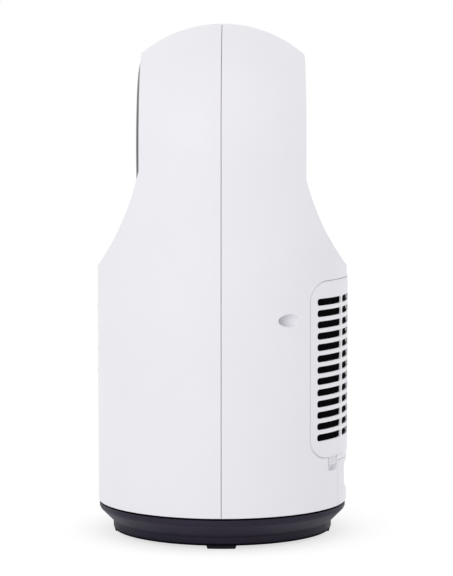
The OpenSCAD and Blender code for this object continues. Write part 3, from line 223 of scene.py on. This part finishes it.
def porous(name, colour, roughness):
    """Sintered or wound copper metal with small pores."""
    material, tree, shader, where = new_material(name, colour, roughness, 1.0)
    pores = cells(tree, where, 2600)
    # Painted shade: the pores are painted darker, as shade in their hollows
    tree.links.new(between(tree, pores, scaled(colour, 0.45), colour, 0.05, 0.4),
                   shader.inputs["Base Color"])
    tree.links.new(spread(tree, noise(tree, where, 300), roughness - 0.1, roughness + 0.1),
                   shader.inputs["Roughness"])
    relief(tree, shader, pores, 0.00003, soft_edge(tree, 0.0002))
    return material


def foam_material(name, colour):
    """Open-cell foam: matt cells painted dark as shade in their hollows, paler walls between them and a
    little dust.
    """
    material, tree, shader, where = new_material(name, colour, 0.95)
    shader.inputs["Specular IOR Level"].default_value = 0.02
    # Painted shade: the hollows of the cells are painted darker, the walls between them paler
    walls = cells(tree, where, 900, "DISTANCE_TO_EDGE")
    shade = between(tree, walls, scaled(colour, 1.5), scaled(colour, 0.35), 0.0, 0.35)
    dust = spread(tree, noise(tree, where, 400, 6), 0.0, 0.5, 0.66, 0.8)
    tree.links.new(over(tree, dust, shade, scaled(colour, 2.6)), shader.inputs["Base Color"])
    relief(tree, shader, walls, -0.0004)
    return material


def board_material(name, colour, turn=None):
    """Solder mask over copper tracks, with pads and a faint cloudy tone. The tracks
    lie flat, unless they are turned."""
    material, tree, shader, where = new_material(name, colour, 0.28)
    tracks = tree.nodes.new("ShaderNodeTexBrick")
    tracks.inputs["Scale"].default_value = 190
    tracks.inputs["Mortar Size"].default_value = 0.09
    tracks.inputs["Mortar Smooth"].default_value = 0.2
    tracks.inputs["Brick Width"].default_value = 1.4
    tracks.inputs["Row Height"].default_value = 0.42
    place(tree, where, tracks, turn=turn)
    shade = between(tree, noise(tree, where, 120, 3), scaled(colour, 0.8), scaled(colour, 1.2))
    shade = over(tree, tracks.outputs["Fac"], shade, scaled(colour, 2.1))
    pads = spread(tree, cells(tree, where, 230), 1.0, 0.0, 0.14, 0.17)
    tree.links.new(over(tree, pads, shade, (0.62, 0.6, 0.55)), shader.inputs["Base Color"])
    tree.links.new(spread(tree, noise(tree, where, 2000), 0.22, 0.36), shader.inputs["Roughness"])
    relief(tree, shader, tracks.outputs["Fac"], 0.00004)
    return material


def sleeve_material(name, colour):
    """Woven glass sleeve over a heater lead: crossing diagonal threads."""
    material, tree, shader, where = new_material(name, colour, 0.6)
    threads = []
    for lean in (1, -1):
        wave = tree.nodes.new("ShaderNodeTexWave")
        wave.inputs["Scale"].default_value = 320
        place(tree, where, wave, (1, lean * 1.0, lean * 0.8))
        threads.append(wave.outputs["Fac"])
    weave = tree.nodes.new("ShaderNodeMath")
    weave.operation = "MAXIMUM"
    tree.links.new(threads[0], weave.inputs[0])
    tree.links.new(threads[1], weave.inputs[1])
    tree.links.new(between(tree, weave.outputs[0], scaled(colour, 0.6), scaled(colour, 1.3), 0.2, 0.9),
                   shader.inputs["Base Color"])
    relief(tree, shader, weave.outputs[0], 0.00012)
    return material


def wound_material(name, colour):
    """Enamelled copper wire in close turns."""
    material, tree, shader, where = new_material(name, colour, 0.3, 1.0)
    turns = tree.nodes.new("ShaderNodeTexWave")
    turns.inputs["Scale"].default_value = 520
    turns.inputs["Distortion"].default_value = 0.4
    place(tree, where, turns, (0.7, 0.2, 1))
    shade = between(tree, turns.outputs["Fac"], scaled(colour, 0.35), scaled(colour, 1.2), 0.05, 0.8)
    tree.links.new(shade, shader.inputs["Base Color"])
    relief(tree, shader, turns.outputs["Fac"], 0.00012)
    return material


# Finishes by the record's slots

SLOTS = {m["slot"]: tuple(m["base_color"]) for m in frame["record"]["materials"]}

finishes = {
    "white_plastic": moulded("white_plastic", (0.875, 0.864, 0.912), 0.4, vary=0.012, rough_vary=0.04,
                             grain=2200, depth=0.000012, specular=0.4, edge_radius=0.0005),
    "gloss_black": moulded("gloss_black", SLOTS["gloss_black"], 0.13, vary=0.1, rough_vary=0.04, grain=500,
                           depth=0.000004, edge_radius=0.0006),
    # The black plastic gets painted shade under close neighbours, reaching 1 cm
    "black_plastic": moulded("black_plastic", (0.022, 0.018, 0.034), 0.5, vary=0.12, rough_vary=0.06,
                             grain=1800, depth=0.00003, specular=0.15, edge_tone=1.7, painted_shade_reach=0.01),
    "rubber": moulded("rubber", (0.014, 0.013, 0.018), 0.8, vary=0.15, rough_vary=0.08, grain=900,
                      depth=0.00005, specular=0.1, edge_tone=1.5),
    "natural_plastic": moulded("natural_plastic", SLOTS["natural_plastic"], 0.42, vary=0.04, grain=1200,
                               depth=0.000025, edge_tone=1.12),
    "grey_plastic": moulded("grey_plastic", SLOTS["grey_plastic"], 0.5, vary=0.04, grain=1100,
                            depth=0.00003, edge_tone=1.3),
    "red_plastic": moulded("red_plastic", SLOTS["red_plastic"], 0.3, vary=0.08, grain=1500, depth=0.00001,
                           edge_tone=1.5),
    "blue_plastic": moulded("blue_plastic", SLOTS["blue_plastic"], 0.35, vary=0.08, grain=1300,
                            depth=0.00001, edge_tone=1.5),
    "green_plastic": moulded("green_plastic", SLOTS["green_plastic"], 0.45, vary=0.08, grain=1300,
                             depth=0.00002, edge_tone=1.4),
    "button_grey": moulded("button_grey", SLOTS["button_grey"], 0.36, vary=0.02, grain=2000,
                           depth=0.000012, edge_tone=1.1),
    "circuit_board": board_material("circuit_board", SLOTS["circuit_board"]),
    "foam": foam_material("foam", (0.0018, 0.0018, 0.0024)),
    "steel": metal("steel", SLOTS["steel"], 0.32, stain=0.08),
    "motor_steel": metal("motor_steel", SLOTS["motor_steel"], 0.4, (1, 0.05, 1), stain=0.1),
    "bronze": porous("bronze", SLOTS["bronze"], 0.45),
    "aluminium": metal("aluminium", SLOTS["aluminium"], 0.38, (0.06, 1, 1), 1200),
}
ring_tree = finishes["gloss_black"].node_tree
gloss_facing(ring_tree, ring_tree.nodes["Principled BSDF"], 0.5, 0.02)

# Finishes of single nodes, which go before the finish of their slot
by_node = {
    "control_board": board_material("upright_board", SLOTS["circuit_board"], (math.radians(90), 0, 0)),
    "heater_leads": sleeve_material("glass_sleeve", SLOTS["red_plastic"]),
    "motor_rotor": wound_material("copper_winding", (0.5, 0.21, 0.09)),
    "heater_terminals": metal("brass", (0.66, 0.5, 0.22), 0.35),
    "motor_lead": moulded("lead_sheath", SLOTS["black_plastic"], 0.4, vary=0.1, grain=700, depth=0.00003),
    "capacitors": moulded("sleeved_can", (0.02, 0.05, 0.16), 0.25, vary=0.08, grain=400, depth=0.00001,
                          edge_tone=2.2),
}

for row in frame["record"]["subparts"]:
    node = nodes[row["node"]]
    node.data.materials.clear()
    node.data.materials.append(by_node.get(row["node"], finishes[row["material_slot"]]))


# Pieces made here

def finish_piece(bm, name, body, material, smooth=True):
    """Turns a bmesh into a piece that rides on a body."""
    mesh = bpy.data.meshes.new(name)
    bmesh.ops.recalc_face_normals(bm, faces=bm.faces)
    bm.to_mesh(mesh)
    bm.free()
    for face in mesh.polygons:
        face.use_smooth = smooth
    mesh.materials.append(material)
    piece = bpy.data.objects.new(name, mesh)
    bpy.context.scene.collection.objects.link(piece)
    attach(piece, body)
    return piece


# The filter foam: a curved open-cell sheet with rounded rims, in the space of its solid

FOAM_SKIN = 0.0001
FOAM_MARGIN = 0.0003
FOAM_EDGE = 0.0012
FOAM_RIM_SHARE = 0.25
PORE_SIZE, PORE_DEPTH, PORE_SPREAD = 0.0026, 0.0005, 1.3
COLUMNS, ROWS = 124, 116
low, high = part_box("filter_foam")
foam_out = high.y - FOAM_SKIN
foam_in = min(math.hypot(v.co.x, v.co.y) for v in nodes["filter_foam"].data.vertices) + FOAM_SKIN
foam_half = high.x - FOAM_MARGIN
foam_z0, foam_z1 = low.z + FOAM_MARGIN, high.z - FOAM_MARGIN


def foam_point(i, j, outer):
    """Point of the sheet's outer or inner face, with pores, and pulled together at the rims."""
    x = foam_half * (2 * i / COLUMNS - 1)
    z = foam_z0 + (foam_z1 - foam_z0) * j / ROWS
    rim = min(foam_half - abs(x), z - foam_z0, foam_z1 - z)
    crown = math.sqrt(max(0.0, 1 - (1 - min(1.0, rim / FOAM_EDGE)) ** 2))
    cell = lattice.voronoi(Vector((x, z, 0.01 if outer else 0.5)) / PORE_SIZE)[0][0]
    pore = min(1.0, cell * PORE_SPREAD)
    middle, half = (foam_out + foam_in) / 2, (foam_out - foam_in) / 2
    depth = half * (FOAM_RIM_SHARE + (1 - FOAM_RIM_SHARE) * crown) - PORE_DEPTH * (1 - pore) * crown
    radius = middle + depth if outer else middle - depth
    return x, math.sqrt(radius * radius - x * x), z


bm = bmesh.new()
grids = []
for outer in (True, False):
    grids.append([[bm.verts.new(foam_point(i, j, outer)) for j in range(ROWS + 1)]
                  for i in range(COLUMNS + 1)])
for grid in grids:
    for i in range(COLUMNS):
        for j in range(ROWS):
            bm.faces.new((grid[i][j], grid[i + 1][j], grid[i + 1][j + 1], grid[i][j + 1]))
rim = [(i, 0) for i in range(COLUMNS)] + [(COLUMNS, j) for j in range(ROWS)]
rim += [(i, ROWS) for i in range(COLUMNS, 0, -1)] + [(0, j) for j in range(ROWS, 0, -1)]
for (a, b), (c, d) in zip(rim, rim[1:] + rim[:1]):
    bm.faces.new((grids[0][a][b], grids[0][c][d], grids[1][c][d], grids[1][a][b]))
foam = finish_piece(bm, "filter_foam_sheet", "grille", finishes["foam"])
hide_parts("filter_foam")


# Signs on the buttons and the mains rocker: thin raised strips laid on the face of a node

SIGN_PROUD, SIGN_SUNK = 0.00006, 0.0003
LINE, FINE_LINE = 0.00055, 0.00045
MM = 0.001
RAY_FROM = 0.2


def face_finder(node):
    """Gives y of the node's face seen from the front or the rear at a place (x, z)."""
    bm = bmesh.new()
    bm.from_mesh(nodes[node].data)
    tree = BVHTree.FromBMesh(bm)
    bm.free()

    def y_at(x, z, side):
        hit = tree.ray_cast(Vector((x, side * RAY_FROM, z)), Vector((0, -side, 0)))
        return hit[0].y
    return y_at


def lay_strip(bm, y_at, side, points, widths, closed=False):
    """Strip of rectangular section along points (x, z), proud of the face and sunk into it."""
    count = len(points)
    ribs = []
    for i, (x, z) in enumerate(points):
        before = points[i - 1] if i or closed else points[i]
        after = points[(i + 1) % count] if i < count - 1 or closed else points[i]
        dx, dz = after[0] - before[0], after[1] - before[1]
        length = math.hypot(dx, dz)
        nx, nz = -dz / length * widths[i] / 2, dx / length * widths[i] / 2
        rib = []
        for sx, lift in ((1, SIGN_PROUD), (-1, SIGN_PROUD), (-1, -SIGN_SUNK), (1, -SIGN_SUNK)):
            px, pz = x + sx * nx, z + sx * nz
            rib.append(bm.verts.new((px, y_at(px, pz, side) + side * lift, pz)))
        ribs.append(rib)
    pairs = list(zip(ribs, ribs[1:]))
    if closed:
        pairs.append((ribs[-1], ribs[0]))
    else:
        bm.faces.new(ribs[0])
        bm.faces.new(ribs[-1][::-1])
    for a, b in pairs:
        for k in range(4):
            bm.faces.new((a[k], b[k], b[(k + 1) % 4], a[(k + 1) % 4]))


def arc(cx, cz, radius, start, end, count):
    """Points (x, z) on an arc, angles in degrees from the top, turning to +x."""
    turns = [math.radians(start + (end - start) * i / count) for i in range(count + 1)]
    return [(cx + radius * math.sin(a), cz + radius * math.cos(a)) for a in turns]


def sign(name, node, body, side, strips, material):
    """Lays strips on a node's face, their points in millimetres from its middle."""
    y_at = face_finder(node)
    low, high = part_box(node)
    cx, cz = (low.x + high.x) / 2, (low.z + high.z) / 2
    bm = bmesh.new()
    for points, widths, closed in strips:
        placed = [(cx + x * MM, cz + z * MM) for x, z in points]
        if isinstance(widths, float):
            widths = [widths] * len(points)
        lay_strip(bm, y_at, side, placed, widths, closed)
    return finish_piece(bm, name, body, material, smooth=False)


def arrow_head(x, z, dx, dz, length=1.3, width=1.9):
    """Triangle with its base at (x, z), pointing along (dx, dz)."""
    size = math.hypot(dx, dz)
    return ([(x, z), (x + dx / size * length, z + dz / size * length)], [width * MM, 0.08 * MM], False)


heat_waves = []
for x in (-1.7, 0.0, 1.7):
    wave = [(x + 0.45 * math.sin(2 * math.pi * t / 12), -2.4 + 4.8 * t / 12) for t in range(13)]
    heat_waves.append((wave, LINE, False))
dial = arc(0, 0, 2.5, 0, 360, 36)[:-1]
sweep = arc(0, -1.6, 2.9, -58, 58, 20)
marks = moulded("sign_print", (0.05, 0.05, 0.055), 0.45, vary=0.1, grain=1500, depth=0.00001)
sign("power_sign", "power_button", "power_button", -1,
     [(arc(0, -0.2, 2.3, 35, 325, 28), LINE, False), ([(0, 0.4), (0, 1.6), (0, 2.7)], LINE, False)],
     marks)
sign("heat_sign", "heat_button", "heat_button", -1, heat_waves, marks)
sign("swing_sign", "swing_button", "swing_button", -1,
     [(sweep, LINE, False), arrow_head(*sweep[0], -0.55, -0.85), arrow_head(*sweep[-1], 0.55, -0.85),
      (arc(0, -1.5, 0.45, 0, 360, 16)[:-1], 0.0005, True)],
     marks)
sign("timer_sign", "timer_button", "timer_button", -1,
     [(dial, LINE, True), ([(0, 1.6), (0, 0.8), (0, -0.25)], FINE_LINE, False),
      ([(0.27, 0), (0.7, 0), (1.3, 0)], FINE_LINE, False)],
     marks)

rocker_white = moulded("rocker_print", (0.75, 0.75, 0.75), 0.4, vary=0.03, grain=1500, depth=0.00001)
ring_o = arc(-3.3, 0, 1.25, 0, 360, 28)[:-1]
sign("rocker_sign", "rocker", "rocker", 1,
     [(ring_o, 0.0005, True), ([(3.3, -1.4), (3.3, 0), (3.3, 1.4)], 0.0006, False)],
     rocker_white)


# Indicator lenses in the control panel, one beside each button

LENS_X, LENS_R, LENS_STEPS = 0.0086, 0.0009, 20
# Share of the radius and height over the panel, from the sunk foot to the top of the dome
LENS_PROFILE = ((1.0, -0.0004), (1.0, 0.00004), (0.9, 0.00012), (0.6, 0.0002), (0.3, 0.00024))


def lens(name, z):
    """Low round dome on the panel's curved front."""
    front = face_finder("control_panel")(LENS_X, z, -1)
    out = Vector((LENS_X, front, 0)).normalized()
    across = Vector((0, 0, 1)).cross(out)
    middle = Vector((LENS_X, front, z))
    bm = bmesh.new()
    rings = []
    for share, lift in LENS_PROFILE:
        ring = []
        for k in range(LENS_STEPS):
            a = 2 * math.pi * k / LENS_STEPS
            aside, up = LENS_R * share * math.cos(a), LENS_R * share * math.sin(a)
            ring.append(bm.verts.new(middle + across * aside + Vector((0, 0, up)) + out * lift))
        rings.append(ring)
    for a, b in zip(rings, rings[1:]):
        for k in range(LENS_STEPS):
            after = (k + 1) % LENS_STEPS
            bm.faces.new((a[k], a[after], b[after], b[k]))
    bm.faces.new(rings[0][::-1])
    bm.faces.new(rings[-1])
    return finish_piece(bm, name, "body", lens_material)


lens_material = moulded("lens", (0.62, 0.64, 0.6), 0.15, vary=0.03, rough_vary=0.03, grain=900,
                        depth=0.000004, coat=0.5)
lens_shader = lens_material.node_tree.nodes["Principled BSDF"]
lens_shader.inputs["Subsurface Weight"].default_value = 0.2
lens_shader.inputs["Subsurface Scale"].default_value = 0.001
for button in ("power", "heat", "swing", "timer"):
    low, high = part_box(f"{button}_button")
    lens(f"{button}_lens", (low.z + high.z) / 2)


# Camera

# The camera stands DISTANCE in front of the side that the photo shows, HEIGHT above the table, looking
# down by PITCH degrees
FOCAL_LENGTH = 153.6
TURN = math.radians(0.4)
DISTANCE, ASIDE, HEIGHT, PITCH = 1.6246, 0.0028, 0.3025, 4.958
camera_data = bpy.data.cameras.new("camera")
camera_data.lens = FOCAL_LENGTH
camera = bpy.data.objects.new("camera", camera_data)
camera.location = (DISTANCE * math.cos(TURN) - ASIDE * math.sin(TURN),
                   DISTANCE * math.sin(TURN) + ASIDE * math.cos(TURN), HEIGHT)
camera.rotation_euler = (math.radians(90 - PITCH), 0, math.radians(90) + TURN)
scene = bpy.context.scene
scene.collection.objects.link(camera)
scene.camera = camera
scene.view_settings.view_transform = "Standard"


# Stage and light

def seen_ray(tree):
    """1 for rays from the camera and for mirror and glass rays, else 0."""
    path = tree.nodes.new("ShaderNodeLightPath")
    value = path.outputs["Is Camera Ray"]
    for name in ("Is Glossy Ray", "Is Transmission Ray"):
        larger = tree.nodes.new("ShaderNodeMath")
        larger.operation = "MAXIMUM"
        tree.links.new(value, larger.inputs[0])
        tree.links.new(path.outputs[name], larger.inputs[1])
        value = larger.outputs[0]
    return value


def shown_or_lit(tree, out, shown, lit):
    """Uses one shader for what the camera and mirrors see and the other for lighting."""
    mix = tree.nodes.new("ShaderNodeMixShader")
    tree.links.new(seen_ray(tree), mix.inputs["Fac"])
    tree.links.new(lit.outputs[0], mix.inputs[1])
    tree.links.new(shown.outputs[0], mix.inputs[2])
    tree.links.new(mix.outputs[0], out.inputs["Surface"])


# The studio: white to the eye, and as light a little dimmer overhead than round the sides
HORIZON, ZENITH = 1.0, 0.82
world = bpy.data.worlds.new("studio")
world.use_nodes = True
scene.world = world
tree = world.node_tree
tree.nodes.clear()
out = tree.nodes.new("ShaderNodeOutputWorld")
shown = tree.nodes.new("ShaderNodeBackground")
shown.inputs["Color"].default_value = (1, 1, 1, 1)
lit = tree.nodes.new("ShaderNodeBackground")
lit.inputs["Color"].default_value = (1, 1, 1, 1)
where = tree.nodes.new("ShaderNodeTexCoord")
split = tree.nodes.new("ShaderNodeSeparateXYZ")
tree.links.new(where.outputs["Generated"], split.inputs["Vector"])
tree.links.new(spread(tree, split.outputs["Z"], HORIZON, ZENITH, 0.0, 0.9), lit.inputs["Strength"])
shown_or_lit(tree, out, shown, lit)

floor_mesh = bpy.data.meshes.new("floor")
REACH = 6.0
floor_mesh.from_pydata([(-REACH, -REACH, 0), (REACH, -REACH, 0), (REACH, REACH, 0), (-REACH, REACH, 0)], [],
                       [(0, 1, 2, 3)])
floor = bpy.data.objects.new("floor", floor_mesh)
scene.collection.objects.link(floor)
floor_material = bpy.data.materials.new("floor")
floor_material.use_nodes = True
floor_mesh.materials.append(floor_material)
tree = floor_material.node_tree
tree.nodes.clear()
out = tree.nodes.new("ShaderNodeOutputMaterial")
plain = tree.nodes.new("ShaderNodeBsdfDiffuse")
plain.inputs["Color"].default_value = (0.85, 0.85, 0.85, 1)
grey = tree.nodes.new("ShaderNodeBsdfDiffuse")
grey.inputs["Color"].default_value = (0.4, 0.4, 0.4, 1)
glow = tree.nodes.new("ShaderNodeEmission")
glow.inputs["Strength"].default_value = 0.68
both = tree.nodes.new("ShaderNodeAddShader")
tree.links.new(grey.outputs[0], both.inputs[0])
tree.links.new(glow.outputs[0], both.inputs[1])
shown_or_lit(tree, out, both, plain)


def area_light(name, at, aim, width, height, power):
    """Rectangular lamp that looks from one point to another."""
    data = bpy.data.lights.new(name, "AREA")
    data.shape = "RECTANGLE"
    data.size, data.size_y, data.energy = width, height, power
    lamp = bpy.data.objects.new(name, data)
    lamp.location = at
    lamp.rotation_euler = (Vector(aim) - Vector(at)).to_track_quat("-Z", "Y").to_euler()
    scene.collection.objects.link(lamp)


area_light("key", (1.9, -1.1, 0.75), (0, 0, 0.15), 1.4, 1.2, 6)
